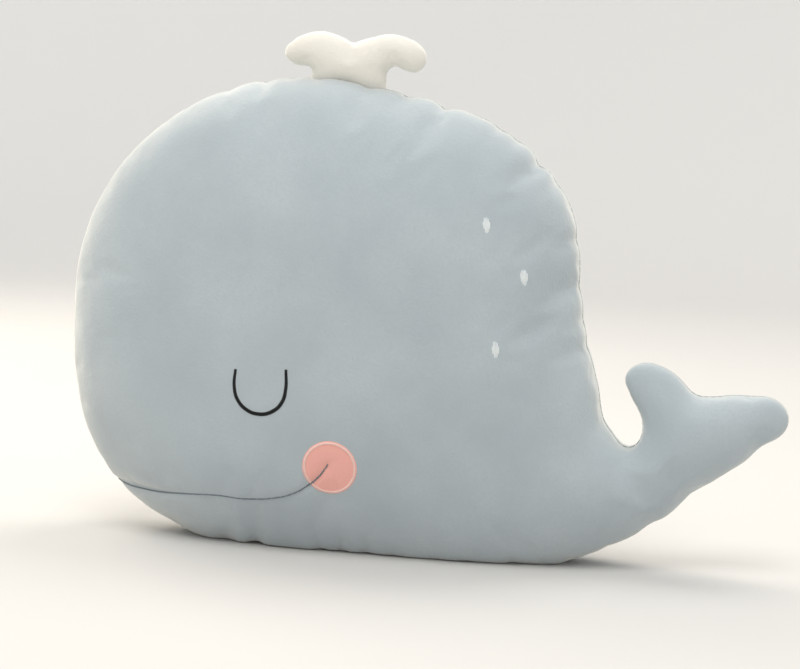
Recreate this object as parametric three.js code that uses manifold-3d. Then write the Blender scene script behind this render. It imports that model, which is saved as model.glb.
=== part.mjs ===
// A stuffed whale pillow: two velour panels sewn round a fibre filling, a tail that bends at its root,
// a padded water spout caught in the top seam, and an embroidered face.
// Millimetres, +Z up. The head points along -X and the face looks along -Y.
// The origin is on the ground, under the middle of the whale's length.

import * as THREE from "three";
import { mergeVertices } from "three/addons/utils/BufferGeometryUtils.js";
import Module from "manifold-3d";

// Body, from its centre to the seam
const noseReach = 180;
const backReach = 183;
const crownRise = 171;
const bellyDrop = 165;
const bodyThickness = 140;
// How much of the belly is pressed flat where the pillow stands
const bellyPress = 15;

// Tail, from the bottom of the notch between the tail and the back
const notchGap = 33;
const notchDrop = 66.5;
const tailReach = 104;
const tailRise = 55.5;
const tailDrop = 68;
const tailThickness = 56;

// Water spout, from the crown under its middle
const spoutShift = 16;
const spoutWidth = 97.5;
const spoutHeight = 32;
const spoutThickness = 26;
const spoutPinch = 16;
const stemWidth = 49.5;
const stemShift = -5;
const stemSink = 5;
const spoutLift = 1.5;
const tabDepth = 1.9;

// Cloth and thread
const coverWall = 2;
const seamAllowance = 6;
const spoutWall = 1.5;
const spoutAllowance = 3.5;
const threadThickness = 0.6;
const threadWidth = 1.6;
const threadInset = 2.2;
const closingLength = 130;
const clearance = 0.3;
const stuffingGap = 0.6;

// Embroidery on the front, places from the body's centre and the cheek's height from the ground
const stitchSink = 0.6;
const stitchEdge = 0.4;
const stitchCrown = 0.9;
const stitchStep = 4;
const eyeX = -26.8;
const eyeZ = -36.1;
const eyeRadius = 17.9;
const eyeLeg = 11.6;
const eyeStitchWidth = 3.4;
const cheekX = 21.6;
const cheekHeight = 62.8;
const cheekRadius = 16;
const cheekBorderWidth = 2.2;
const cheekThickness = 0.9;
const smileMargin = 8.2;
const smileDrop = 30;
const smileWidth = 1.3;
const markLength = 13.4;
const markWidth = 4.6;
const markTilt = 5;
const flankMarks = {
  flank_mark_upper: [117, 78.7],
  flank_mark_middle: [142.8, 45.7],
  flank_mark_lower: [128.1, -2.2],
};

// The seam's outline: shares of the reaches above, and how far along the spine each knot belongs,
// from 0 at the body's centre to 1 at the tail's centre
const bodyProfile = [
  [0.99, -0.9, 0.25],
  [0.77, -0.97, 0],
  [0.35, -1, 0],
  [-0.25, -0.98, 0],
  [-0.53, -0.89, 0],
  [-0.76, -0.755, 0],
  [-0.915, -0.54, 0],
  [-0.985, -0.28, 0],
  [-1, 0, 0],
  [-0.978, 0.275, 0],
  [-0.878, 0.544, 0],
  [-0.694, 0.766, 0],
  [-0.444, 0.924, 0],
  [-0.083, 1, 0],
  [0.2, 0.966, 0],
  [0.448, 0.909, 0],
  [0.683, 0.807, 0],
  [0.847, 0.649, 0],
  [0.934, 0.468, 0],
  [0.964, 0.234, 0],
  [1, 0.012, 0],
  [1.044, -0.15, 0.25],
];
const tailProfile = [
  [-0.485, 0.207, 0.5],
  [0, 0, 0.75],
  [0.072, 0.207, 1],
  [-0.06, 0.62, 1],
  [-0.18, 0.838, 1],
  [0.038, 1, 1],
  [0.21, 0.946, 1],
  [0.423, 0.676, 1],
  [0.692, 0.694, 1],
  [0.923, 0.649, 1],
  [1, 0.423, 1],
  [0.846, 0.063, 1],
  [0.596, -0.243, 1],
  [0.375, -0.53, 1],
  [0.163, -0.8, 0.75],
  [-0.18, -1, 0.5],
];
// The spout above its stem, shares of its half width and height, clockwise from the left
const spoutProfile = [
  [-0.655, 0.25],
  [-0.78, 0.297],
  [-0.997, 0.553],
  [-0.872, 0.803],
  [-0.513, 1],
  [-0.246, 0.92],
  [-0.03, 0.825],
  [0.205, 0.912],
  [0.533, 1],
  [0.882, 0.834],
  [1, 0.553],
  [0.841, 0.29],
  [0.595, 0.334],
  [0.44, 0.27],
];
// The smile, shares of its reach towards the nose and of its drop, from the nose to the cheek's centre
const smileProfile = [
  [-1, -0.98],
  [-0.74, -1.02],
  [-0.38, -0.94],
  [-0.18, -0.7],
  [-0.06, -0.3],
  [0, 0],
];
// Where the tail root begins and ends, each a line from low to high in the tail's shares
const rootStart = [[-0.545, -1.08], [-0.455, 0.198]];
const rootEnd = [[0.183, -0.787], [-0.303, 0.82]];
// The tail's centre and the spine's lowest point, in the tail's shares, and the spout's centre in its own
const tailCore = [0.28, 0.08];
const rootCore = [-0.09, -0.5];
const spoutCore = [-0.06, 0.62];

// How the stuffing swells: rings as shares of the way from the spine to the seam
const whaleRings = [1, 0.97, 0.9, 0.78, 0.6, 0.36, 0];
const spoutRings = [1, 0.95, 0.8, 0.5, 0];
// How far along the spine the body has thinned to the tail's thickness
const rootStation = 0.5;
// How much of the spout's thickness is left where the seam pinches it
const footShare = 0.11;
const swellPower = 2.2;
const swellRoundness = 1.8;
const outlineSteps = 2;
const discSectors = 24;
const discRings = 4;
const borderSteps = 36;
const tabSteps = 8;
const markSteps = 8;
// How blunt the ends of the flank marks are, as a share of their width
const markBluntness = 0.2;

const velour = { color: 0xaab7bb, roughness: 0.95 };
const spoutVelour = { color: 0xe7e5da, roughness: 0.95 };
const fibre = { color: 0xf4f2ec, roughness: 1 };
const seamCotton = { color: 0xa2adb1, roughness: 0.7 };
const slateThread = { color: 0x717b82, roughness: 0.7 };
const whiteThread = { color: 0xeef0ea, roughness: 0.6 };
const blackThread = { color: 0x15161a, roughness: 0.6 };
const coralFelt = { color: 0xefaca1, roughness: 0.9 };
const coralThread = { color: 0xf7d7cf, roughness: 0.6 };

const wasm = await Module();
wasm.setup();

const pillow = new THREE.Group();
const farAway = 4 * (noseReach + backReach + tailReach);
const seamGap = threadThickness + 2 * clearance;

const bodyCentre = new THREE.Vector3(
  (noseReach - backReach - notchGap - tailReach) / 2,
  0,
  bellyDrop - bellyPress,
);
const notch = new THREE.Vector3(
  bodyCentre.x + backReach + notchGap,
  0,
  bodyCentre.z - notchDrop,
);

// A place on the body, from shares of its reaches
function bodyPlace(along, up) {
  const x = along * (along < 0 ? noseReach : backReach);
  const z = up * (up < 0 ? bellyDrop : crownRise);
  return new THREE.Vector3(bodyCentre.x + x, 0, bodyCentre.z + z);
}

// A place on the tail, from shares of its reaches
function tailPlace(along, up) {
  const x = along * (along < 0 ? notchGap : tailReach);
  const z = up * (up < 0 ? tailDrop : tailRise);
  return new THREE.Vector3(notch.x + x, 0, notch.z + z);
}

// Solids

// Turns a closed geometry into a solid that can be joined and cut
function toSolid(geometry) {
  geometry.deleteAttribute("normal");
  geometry.deleteAttribute("uv");
  const merged = mergeVertices(geometry);
  const mesh = new wasm.Mesh({
    numProp: 3,
    vertProperties: Float32Array.from(merged.attributes.position.array),
    triVerts: Uint32Array.from(merged.index.array),
  });
  return new wasm.Manifold(mesh);
}

function toGeometry(solid) {
  const { vertProperties, triVerts } = solid.getMesh();
  const geometry = new THREE.BufferGeometry();
  geometry.setAttribute("position", new THREE.BufferAttribute(vertProperties, 3));
  geometry.setIndex(new THREE.BufferAttribute(triVerts, 1));
  geometry.computeVertexNormals();
  return geometry;
}

function trianglesToGeometry(corners) {
  const geometry = new THREE.BufferGeometry().setFromPoints(corners);
  return mergeVertices(geometry);
}

function addPiece(name, geometry, look) {
  const mesh = new THREE.Mesh(geometry, new THREE.MeshStandardMaterial({ metalness: 0, ...look }));
  mesh.name = name;
  mesh.updateMatrixWorld();
  pillow.add(mesh);
  return mesh;
}

// Everything on one side of a line from low to high in the seam plane, 1 for its right and -1 for its left
function besideLine([low, high], side) {
  const up = high.clone().sub(low).normalize();
  const right = new THREE.Vector3(up.z, 0, -up.x);
  const turned = new THREE.Matrix4().makeBasis(right, new THREE.Vector3(0, 1, 0), up);
  turned.setPosition(low);
  const box = new THREE.BoxGeometry(farAway, farAway, farAway);
  box.translate((side * (farAway + clearance)) / 2, 0, 0);
  return toSolid(box.applyMatrix4(turned));
}

function aboveGround(height) {
  return toSolid(new THREE.BoxGeometry(farAway, farAway, farAway).translate(0, 0, farAway / 2 + height));
}

// One side of the seam plane, -1 in front and 1 behind
function besideSeam(side) {
  return toSolid(
    new THREE.BoxGeometry(farAway, farAway, farAway).translate(0, (side * (farAway + seamGap)) / 2, 0),
  );
}

// A solid through a row of sections, each the same number of points, in a ring or with both ends closed
function sweepSections(sections, closed) {
  const corners = [];
  const spans = closed ? sections.length : sections.length - 1;
  for (let i = 0; i < spans; i++) {
    const here = sections[i];
    const next = sections[(i + 1) % sections.length];
    here.forEach((a, j) => {
      const k = (j + 1) % here.length;
      corners.push(a, next[j], next[k], a, next[k], here[k]);
    });
  }
  if (!closed) {
    const first = sections[0];
    const last = sections.at(-1);
    for (let j = 1; j < first.length - 1; j++) {
      corners.push(first[0], first[j], first[j + 1]);
      corners.push(last[0], last[j + 1], last[j]);
    }
  }
  return trianglesToGeometry(corners);
}

// Outlines

// A smooth closed line through knots, with each sample's station along the spine
function sampleOutline(knots) {
  const curve = new THREE.CatmullRomCurve3(knots.map((knot) => knot.at), true);
  const count = knots.length * outlineSteps;
  return Array.from({ length: count }, (_, i) => {
    const knot = knots[Math.floor(i / outlineSteps)];
    const next = knots[Math.ceil((i + 1) / outlineSteps) % knots.length];
    const share = (i % outlineSteps) / outlineSteps;
    return {
      at: curve.getPoint(i / count),
      station: THREE.MathUtils.lerp(knot.station, next.station, share),
    };
  });
}

// The same outline, drawn in square to itself
function insetOutline(outline, depth) {
  return outline.map((sample, i) => {
    const before = outline.at(i - 1).at;
    const after = outline[(i + 1) % outline.length].at;
    const along = after.clone().sub(before).normalize();
    const inward = new THREE.Vector3(along.z, 0, -along.x);
    return { at: sample.at.clone().addScaledVector(inward, depth), station: sample.station };
  });
}

const whaleOutline = sampleOutline([
  ...bodyProfile.map(([along, up, station]) => ({ at: bodyPlace(along, up), station })),
  ...tailProfile.map(([along, up, station]) => ({ at: tailPlace(along, up), station })),
]);

// Where the whale's seam crosses a line along one axis, as places on the other axis
function seamCrossings(axis, value, otherAxis) {
  return whaleOutline.flatMap((sample, i) => {
    const a = sample.at;
    const b = whaleOutline[(i + 1) % whaleOutline.length].at;
    const share = (value - a[axis]) / (b[axis] - a[axis]);
    const crosses = share >= 0 && share <= 1;
    return crosses ? [THREE.MathUtils.lerp(a[otherAxis], b[otherAxis], share)] : [];
  });
}

// Height of the upper seam at a place along the length, and the seam's place at the nose at a height
const crownAt = (x) => Math.max(...seamCrossings("x", x, "z"));
const noseAt = (z) => Math.min(...seamCrossings("z", z, "x"));

const spoutX = bodyCentre.x + spoutShift;
const stemX = spoutX + stemShift;
const spoutBaseZ = crownAt(stemX);

function spoutPlace(along, up) {
  return new THREE.Vector3(spoutX + (along * spoutWidth) / 2, 0, spoutBaseZ + up * spoutHeight);
}

// The foot of the stem follows the crown, at a height above it
function stemFoot(share, height) {
  const x = stemX + (share * stemWidth) / 2;
  return new THREE.Vector3(x, 0, crownAt(x) + height);
}

const spoutFoot = [1, 0, -1].map((share) => stemFoot(share, -stemSink));
const spoutOutline = sampleOutline(
  [...spoutFoot, ...spoutProfile.map(([along, up]) => spoutPlace(along, up))].map((at) => ({
    at,
    station: 0,
  })),
);

// Stuffed forms

function swell(share) {
  return (1 - share ** swellPower) ** (1 / swellRoundness);
}

// Rings that shrink from the outline to the spine, raised to both sides of the seam plane
function stuffedForm(outline, rings, spineAt, halfThicknessAt) {
  const corners = [];
  const place = (sample, share, side) => {
    const at = spineAt(sample.station).lerp(sample.at, share);
    at.y = side * halfThicknessAt(sample.station, at) * swell(share);
    return at;
  };
  const addTriangle = (a, b, c, side) => {
    const flat = a.equals(b) || b.equals(c) || c.equals(a);
    if (!flat) corners.push(...(side < 0 ? [a, b, c] : [a, c, b]));
  };
  outline.forEach((sample, i) => {
    const next = outline[(i + 1) % outline.length];
    for (const side of [-1, 1]) {
      for (let ring = 0; ring < rings.length - 1; ring++) {
        const outer = place(sample, rings[ring], side);
        const outerNext = place(next, rings[ring], side);
        const inner = place(sample, rings[ring + 1], side);
        const innerNext = place(next, rings[ring + 1], side);
        addTriangle(outerNext, outer, inner, side);
        addTriangle(outerNext, inner, innerNext, side);
      }
    }
  });
  return toSolid(trianglesToGeometry(corners));
}

// A flat thread in the seam plane, between two insets of an outline and above the given heights
function seamThread(outline, depth, outerHeight, innerHeight) {
  const outer = insetOutline(outline, depth);
  const inner = insetOutline(outline, depth + threadWidth);
  const sections = outer.map((sample, i) => {
    const from = [sample.at.x, Math.max(sample.at.z, outerHeight)];
    const to = [inner[i].at.x, Math.max(inner[i].at.z, innerHeight)];
    const half = threadThickness / 2;
    return [
      new THREE.Vector3(from[0], -half, from[1]),
      new THREE.Vector3(from[0], half, from[1]),
      new THREE.Vector3(to[0], half, to[1]),
      new THREE.Vector3(to[0], -half, to[1]),
    ];
  });
  return toSolid(sweepSections(sections, true));
}

// Whale

const tailCentre = tailPlace(...tailCore);
const rootCentre = tailPlace(...rootCore);
const spine = new THREE.CatmullRomCurve3([bodyCentre, rootCentre, tailCentre]);

function whaleForm(inset, wall) {
  const halfThicknessAt = (station) => {
    const share = THREE.MathUtils.smoothstep(station, 0, rootStation);
    return THREE.MathUtils.lerp(bodyThickness, tailThickness, share) / 2 - wall;
  };
  const outline = insetOutline(whaleOutline, inset);
  const form = stuffedForm(outline, whaleRings, (station) => spine.getPoint(station), halfThicknessAt);
  return form.intersect(aboveGround(wall));
}

const coverInset = coverWall + seamAllowance;
const whaleShell = whaleForm(0, 0).subtract(whaleForm(coverInset, coverWall));
const whaleFilling = whaleForm(coverInset + stuffingGap, coverWall + stuffingGap);

const startLine = rootStart.map(([along, up]) => tailPlace(along, up));
const endLine = rootEnd.map(([along, up]) => tailPlace(along, up));
const pastStart = besideLine(startLine, 1);
const zones = {
  body: besideLine(startLine, -1),
  tail_root: pastStart.intersect(besideLine(endLine, -1)),
  tail: pastStart.intersect(besideLine(endLine, 1)),
};

const covers = {};
for (const [zone, space] of Object.entries(zones)) {
  for (const [sideName, side] of [["front", -1], ["rear", 1]]) {
    const name = `${zone}_${sideName}_cover`;
    const panel = whaleShell.intersect(space).intersect(besideSeam(side));
    covers[name] = addPiece(name, toGeometry(panel), velour);
  }
  addPiece(`${zone}_filling`, toGeometry(whaleFilling.intersect(space)), fibre);
}

// The perimeter seam runs from one end of the closing seam round to the other
const threadLow = clearance;
const threadHigh = coverWall - clearance;
const closingRoom = closingLength + 2 * clearance;
const closingSpace = new THREE.BoxGeometry(closingRoom, seamGap, 2 * coverWall);
closingSpace.translate(bodyCentre.x, 0, 0);
const perimeter = seamThread(whaleOutline, threadInset, threadLow, threadHigh);
addPiece("perimeter_seam_thread", toGeometry(perimeter.subtract(toSolid(closingSpace))), seamCotton);

const closingThread = new THREE.BoxGeometry(closingLength, threadThickness, threadHigh - threadLow);
closingThread.translate(bodyCentre.x, 0, (threadHigh + threadLow) / 2);
addPiece("closing_seam_thread", closingThread, seamCotton);

// Water spout

// The spout is pinched where the seam holds it and swells above
function spoutForm(inset, wall) {
  const halfThicknessAt = (_, at) => {
    const height = THREE.MathUtils.clamp((at.z - crownAt(at.x)) / spoutPinch, 0, 1);
    return (spoutThickness / 2 - wall) * THREE.MathUtils.lerp(footShare, 1, height);
  };
  const outline = insetOutline(spoutOutline, inset);
  const core = spoutPlace(...spoutCore);
  return stuffedForm(outline, spoutRings, () => core.clone(), halfThicknessAt);
}

// Its stem is cut off just over the whale
const overWhale = whaleForm(-spoutLift, -spoutLift);

const spoutInset = spoutWall + spoutAllowance;
const spoutShell = spoutForm(0, 0).subtract(spoutForm(spoutInset, spoutWall)).subtract(overWhale);
addPiece("spout_front_cover", toGeometry(spoutShell.intersect(besideSeam(-1))), spoutVelour);
addPiece("spout_rear_cover", toGeometry(spoutShell.intersect(besideSeam(1))), spoutVelour);
const spoutStuffing = spoutForm(spoutInset + stuffingGap, spoutWall + stuffingGap).subtract(overWhale);
addPiece("spout_filling", toGeometry(spoutStuffing), fibre);
const spoutThread = seamThread(spoutOutline, threadInset, 0, 0).subtract(overWhale);
addPiece("spout_seam_thread", toGeometry(spoutThread), whiteThread);

// The tab is the strip of cloth that the top seam holds, from inside the seam up to the spout's foot
const tabSections = Array.from({ length: tabSteps + 1 }, (_, i) => {
  const foot = stemFoot((2 * i) / tabSteps - 1, 0);
  const top = foot.z + spoutLift - clearance;
  const bottom = foot.z - tabDepth;
  const half = threadThickness / 2;
  return [
    new THREE.Vector3(foot.x, -half, bottom),
    new THREE.Vector3(foot.x, -half, top),
    new THREE.Vector3(foot.x, half, top),
    new THREE.Vector3(foot.x, half, bottom),
  ];
});
addPiece("spout_tab", sweepSections(tabSections, false), spoutVelour);

// Embroidery

const probe = new THREE.Raycaster();
const intoFront = new THREE.Vector3(0, 1, 0);

// Where the front of the body lies, seen from the front
function frontAt(x, z) {
  probe.set(new THREE.Vector3(x, -farAway, z), intoFront);
  return probe.intersectObject(covers.body_front_cover)[0].point.y;
}

// A point at a height above the front cover
function abovePanel(x, z, height) {
  return new THREE.Vector3(x, frontAt(x, z) - height, z);
}

// Stitches start inside the cover and are cut back from it, so that they lie close on any curve
const coverSpace = whaleForm(-clearance, -clearance);
function addStitch(name, geometry, look) {
  addPiece(name, toGeometry(toSolid(geometry).subtract(coverSpace)), look);
}

// A satin-stitched band over the front, along places in the seam's outline plane
function stitchedBand(places, widthAt, heightAt, closed) {
  const count = places.length;
  const sections = places.map((place, i) => {
    const before = places[closed ? (i + count - 1) % count : Math.max(i - 1, 0)];
    const after = places[closed ? (i + 1) % count : Math.min(i + 1, count - 1)];
    const along = after.clone().sub(before).normalize();
    const across = new THREE.Vector3(along.z, 0, -along.x).multiplyScalar(widthAt(i) / 2);
    const right = place.clone().add(across);
    const left = place.clone().sub(across);
    const low = heightAt(place);
    const base = Math.max(low, clearance);
    return [
      abovePanel(left.x, left.z, low),
      abovePanel(place.x, place.z, low),
      abovePanel(right.x, right.z, low),
      abovePanel(right.x, right.z, base + stitchEdge),
      abovePanel(place.x, place.z, base + stitchCrown),
      abovePanel(left.x, left.z, base + stitchEdge),
    ];
  });
  return sweepSections(sections, closed);
}

const sunk = () => -stitchSink;
const frontPlace = (x, z) => new THREE.Vector3(bodyCentre.x + x, 0, bodyCentre.z + z);
const stepsFor = (length) => Math.max(4, Math.ceil(length / stitchStep));

// The closed eye: a half round with two short upright legs
const eyeCentre = frontPlace(eyeX, eyeZ);
const eyeArcSteps = stepsFor(Math.PI * eyeRadius);
const eyeLegSteps = stepsFor(eyeLeg);
const eyeLegPlace = (side, share) =>
  eyeCentre.clone().add(new THREE.Vector3(side * eyeRadius, 0, share * eyeLeg));
const eyeArcPlace = (share) => {
  const angle = Math.PI * (1 + share);
  return eyeCentre
    .clone()
    .add(new THREE.Vector3(eyeRadius * Math.cos(angle), 0, eyeRadius * Math.sin(angle)));
};
const eyePlaces = [];
for (let i = eyeLegSteps; i > 0; i--) eyePlaces.push(eyeLegPlace(-1, i / eyeLegSteps));
for (let i = 0; i <= eyeArcSteps; i++) eyePlaces.push(eyeArcPlace(i / eyeArcSteps));
for (let i = 1; i <= eyeLegSteps; i++) eyePlaces.push(eyeLegPlace(1, i / eyeLegSteps));
addStitch("eye_stitch", stitchedBand(eyePlaces, () => eyeStitchWidth, sunk, false), blackThread);

// The cheek: a felt disc inside a stitched ring
const cheekCentre = new THREE.Vector3(bodyCentre.x + cheekX, 0, cheekHeight);
const cheekPlace = (radius, sector) => {
  const angle = (2 * Math.PI * sector) / discSectors;
  return cheekCentre
    .clone()
    .add(new THREE.Vector3(radius * Math.cos(angle), 0, radius * Math.sin(angle)));
};
const discPoint = (ring, sector, height) => {
  const place = cheekPlace((cheekRadius * ring) / discRings, ring === 0 ? 0 : sector % discSectors);
  return abovePanel(place.x, place.z, height);
};
const cheekTop = clearance + cheekThickness;
const discCorners = [];
for (let sector = 0; sector < discSectors; sector++) {
  for (let ring = 0; ring < discRings; ring++) {
    for (const height of [-stitchSink, cheekTop]) {
      const inner = discPoint(ring, sector, height);
      const innerNext = discPoint(ring, sector + 1, height);
      const outer = discPoint(ring + 1, sector, height);
      const outerNext = discPoint(ring + 1, sector + 1, height);
      const up = height > 0;
      discCorners.push(...(up ? [inner, outer, outerNext] : [inner, outerNext, outer]));
      if (ring > 0) {
        discCorners.push(...(up ? [inner, outerNext, innerNext] : [inner, innerNext, outerNext]));
      }
    }
  }
  const low = discPoint(discRings, sector, -stitchSink);
  const lowNext = discPoint(discRings, sector + 1, -stitchSink);
  const high = discPoint(discRings, sector, cheekTop);
  const highNext = discPoint(discRings, sector + 1, cheekTop);
  discCorners.push(low, lowNext, highNext, low, highNext, high);
}
addStitch("cheek_patch", trianglesToGeometry(discCorners), coralFelt);

const borderRadius = cheekRadius + clearance + cheekBorderWidth / 2;
const borderPlaces = Array.from({ length: borderSteps }, (_, i) =>
  cheekPlace(borderRadius, (-i * discSectors) / borderSteps),
);
const border = stitchedBand(borderPlaces, () => cheekBorderWidth, sunk, true);
addStitch("cheek_border_stitch", border, coralThread);

// The smile starts beside the seam at the nose, climbs over the cheek's border and ends at its centre
const smileStartHeight = cheekHeight + smileProfile[0][1] * smileDrop;
const smileReach = cheekCentre.x - noseAt(smileStartHeight) - smileMargin;
const smileCurve = new THREE.CatmullRomCurve3(
  smileProfile.map(([along, up]) =>
    cheekCentre.clone().add(new THREE.Vector3(along * smileReach, 0, up * smileDrop)),
  ),
);
const smileReachOverCheek = borderRadius + cheekBorderWidth / 2 + 2 * stitchStep;
const overCheek = Math.max(cheekTop, clearance + stitchCrown) + clearance;
const smileHeight = (place) =>
  place.distanceTo(cheekCentre) < smileReachOverCheek ? overCheek : -stitchSink;
const smilePlaces = smileCurve.getSpacedPoints(stepsFor(smileCurve.getLength()));
const smile = stitchedBand(smilePlaces, () => smileWidth, smileHeight, false);
addStitch("smile_stitch", smile, slateThread);

// Three pointed ovals of satin stitch on the flank
const tilt = THREE.MathUtils.degToRad(markTilt);
for (const [name, [x, z]] of Object.entries(flankMarks)) {
  const centre = frontPlace(x, z);
  const markPlaces = Array.from({ length: markSteps + 1 }, (_, i) => {
    const along = (i / markSteps - 0.5) * markLength;
    return centre.clone().add(new THREE.Vector3(-along * Math.sin(tilt), 0, along * Math.cos(tilt)));
  });
  const markWidthAt = (i) => {
    const share = (2 * i) / markSteps - 1;
    return markWidth * Math.max(markBluntness, Math.sqrt(1 - share * share));
  };
  addStitch(name, stitchedBand(markPlaces, markWidthAt, sunk, false), whiteThread);
}

export default pillow;
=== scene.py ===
# %% [markdown]
# # A stuffed whale pillow
#
# The pillow is two panels of short-pile velour, sewn together round their edge and filled with
# fibre. A padded water spout is caught in the top seam, and the face is embroidered on the front
# panel. The solids that come with it are right in size and place but plain, so this lesson makes
# every soft surface again: it cuts the panels flat, stuffs them, puckers the seam, lets the cloth
# settle, and then sews on the face stitch by stitch.

# %% Load the frame
import math
import random

import bpy
import numpy as np
from mathutils import Matrix, Vector, noise
from mathutils.bvhtree import BVHTree
from mathutils.geometry import delaunay_2d_cdt


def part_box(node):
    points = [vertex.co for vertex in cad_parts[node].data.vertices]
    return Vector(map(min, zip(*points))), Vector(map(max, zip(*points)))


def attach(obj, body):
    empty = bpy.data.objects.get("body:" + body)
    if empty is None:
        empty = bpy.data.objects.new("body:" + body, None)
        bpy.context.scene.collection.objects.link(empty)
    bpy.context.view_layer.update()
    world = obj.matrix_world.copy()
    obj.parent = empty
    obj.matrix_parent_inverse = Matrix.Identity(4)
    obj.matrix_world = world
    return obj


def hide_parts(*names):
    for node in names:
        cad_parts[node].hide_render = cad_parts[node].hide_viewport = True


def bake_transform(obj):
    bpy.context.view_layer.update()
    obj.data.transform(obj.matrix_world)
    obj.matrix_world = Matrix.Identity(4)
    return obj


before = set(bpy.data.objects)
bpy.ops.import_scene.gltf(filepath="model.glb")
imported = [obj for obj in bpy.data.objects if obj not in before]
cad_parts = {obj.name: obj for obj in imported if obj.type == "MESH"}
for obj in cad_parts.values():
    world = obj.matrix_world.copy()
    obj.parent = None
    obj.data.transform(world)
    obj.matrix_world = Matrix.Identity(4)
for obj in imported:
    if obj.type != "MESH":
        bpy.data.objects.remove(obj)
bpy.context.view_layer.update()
MM = 0.001
print("solids loaded:", len(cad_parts))

# %% [markdown]
# ## Camera
#
# The picture was taken a little from the right and a little from above, with the camera tilted, so
# that the whale seems to lean forward. A long lens keeps the pillow's sides nearly parallel. The
# lens follows from how large one pixel is on the pillow and from the distance.

# %% Camera
VIEW_AZIMUTH = math.radians(10)
VIEW_ELEVATION = math.radians(6)
VIEW_ROLL = math.radians(2.6)
VIEW_DISTANCE = 1.4
VIEW_TARGET = Vector((-15.8, 0, 148.2)) * MM
PIXEL_ON_PILLOW = 0.6875 * MM
PICTURE_WIDTH = 800

to_camera = Vector((
    math.sin(VIEW_AZIMUTH) * math.cos(VIEW_ELEVATION),
    -math.cos(VIEW_AZIMUTH) * math.cos(VIEW_ELEVATION),
    math.sin(VIEW_ELEVATION),
))
bpy.ops.object.camera_add()
camera = bpy.context.object
level = to_camera.to_track_quat("Z", "Y").to_matrix()
tilted = level @ Matrix.Rotation(VIEW_ROLL, 3, "Z")
camera.matrix_world = Matrix.Translation(VIEW_TARGET + to_camera * VIEW_DISTANCE) @ tilted.to_4x4()
camera.data.lens = camera.data.sensor_width * VIEW_DISTANCE / (PIXEL_ON_PILLOW * PICTURE_WIDTH)
bpy.context.scene.camera = camera
print("lens:", round(camera.data.lens, 1), "mm")

# %% [markdown]
# ## Finishes
#
# Every finish is built from nodes. Three helpers are enough: one turns a colour picked in sRGB into
# the linear numbers that the shader wants, one adds a node with its options and links, and one
# starts a material.

# %% Helpers for finishes
def linear(code):
    """An sRGB hex colour as linear red, green, blue and alpha."""
    shares = [int(code[i:i + 2], 16) / 255 for i in (0, 2, 4)]
    return (*[s / 12.92 if s <= 0.04045 else ((s + 0.055) / 1.055) ** 2.4 for s in shares], 1)


def add_node(tree, kind, inputs=None, **options):
    """Adds a node, sets its options, and fills its inputs with values or with other nodes' outputs."""
    node = tree.nodes.new(kind)
    for name, value in options.items():
        setattr(node, name, value)
    for name, value in (inputs or {}).items():
        if isinstance(value, bpy.types.NodeSocket):
            tree.links.new(value, node.inputs[name])
        else:
            node.inputs[name].default_value = value
    return node


def new_finish(name, **constants):
    """A material with constant sockets set. Gives the material, its tree, its shader and coordinates."""
    finish = bpy.data.materials.new(name)
    finish.use_nodes = True
    tree = finish.node_tree
    shader = tree.nodes["Principled BSDF"]
    for socket, value in constants.items():
        shader.inputs[socket.replace("_", " ")].default_value = value
    place = add_node(tree, "ShaderNodeTexCoord").outputs["Object"]
    return finish, tree, shader, place


print("half grey in linear light:", round(linear("808080")[0], 3))

# %% [markdown]
# ### Velour
#
# Velour is a knit with a short cut pile. The pile takes no sharp highlight. It glows where it is
# seen edge on, which is the shader's sheen, and it lies one way in some patches and the other way
# in others, which is why a velour toy looks softly mottled. The single tufts are finer than a
# pixel, so they are drawn at two millimetres.

# %% Velour
NAP_PATCH = 65 * MM
TUFT = 2 * MM


def velour(name, brushed_down, brushed_up):
    finish, tree, shader, place = new_finish(
        name, Sheen_Weight=1, Sheen_Roughness=0.5, Sheen_Tint=linear("f4f1e8"), Specular_IOR_Level=0.2,
    )
    patches = add_node(tree, "ShaderNodeTexNoise", {"Vector": place, "Scale": 1 / NAP_PATCH, "Detail": 3})
    tufts = add_node(
        tree, "ShaderNodeTexNoise", {"Vector": place, "Scale": 1 / TUFT, "Detail": 3, "Roughness": 0.6},
    )
    lie = add_node(
        tree, "ShaderNodeMapRange", {"Value": patches.outputs["Fac"], "From Min": 0.3, "From Max": 0.7},
    )
    speck = add_node(
        tree, "ShaderNodeMapRange", {"Value": tufts.outputs["Fac"], "To Min": 0.2, "To Max": 1.4},
    )
    mixed = add_node(
        tree, "ShaderNodeMath",
        {0: lie.outputs["Result"], 1: speck.outputs["Result"]}, operation="MULTIPLY",
    )
    colour = add_node(
        tree, "ShaderNodeMix",
        {0: mixed.outputs["Value"], 6: linear(brushed_down), 7: linear(brushed_up)}, data_type="RGBA",
    )
    rough = add_node(
        tree, "ShaderNodeMapRange", {"Value": lie.outputs["Result"], "To Min": 0.95, "To Max": 0.85},
    )
    pile = add_node(
        tree, "ShaderNodeBump", {"Height": tufts.outputs["Fac"], "Strength": 0.5, "Distance": 0.5 * MM},
    )
    tree.links.new(colour.outputs[2], shader.inputs["Base Color"])
    tree.links.new(rough.outputs["Result"], shader.inputs["Roughness"])
    tree.links.new(pile.outputs["Normal"], shader.inputs["Normal"])
    return finish


whale_velour = velour("grey_blue_velour", "a6b1b8", "b4bec4")
spout_velour = velour("off_white_velour", "e1ded6", "ebe8e0")
print("velour finishes:", whale_velour.name, spout_velour.name)

# %% [markdown]
# ### Thread
#
# Embroidery thread is shiny polyester or rayon. Each strand is a bundle of filaments, so its gloss
# is broken up along the strand. The strands themselves are modelled, and the finish only adds the
# filaments and the slight difference in shade from one strand to the next. Real filaments are too
# fine to show, so they are drawn half a millimetre wide.

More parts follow.
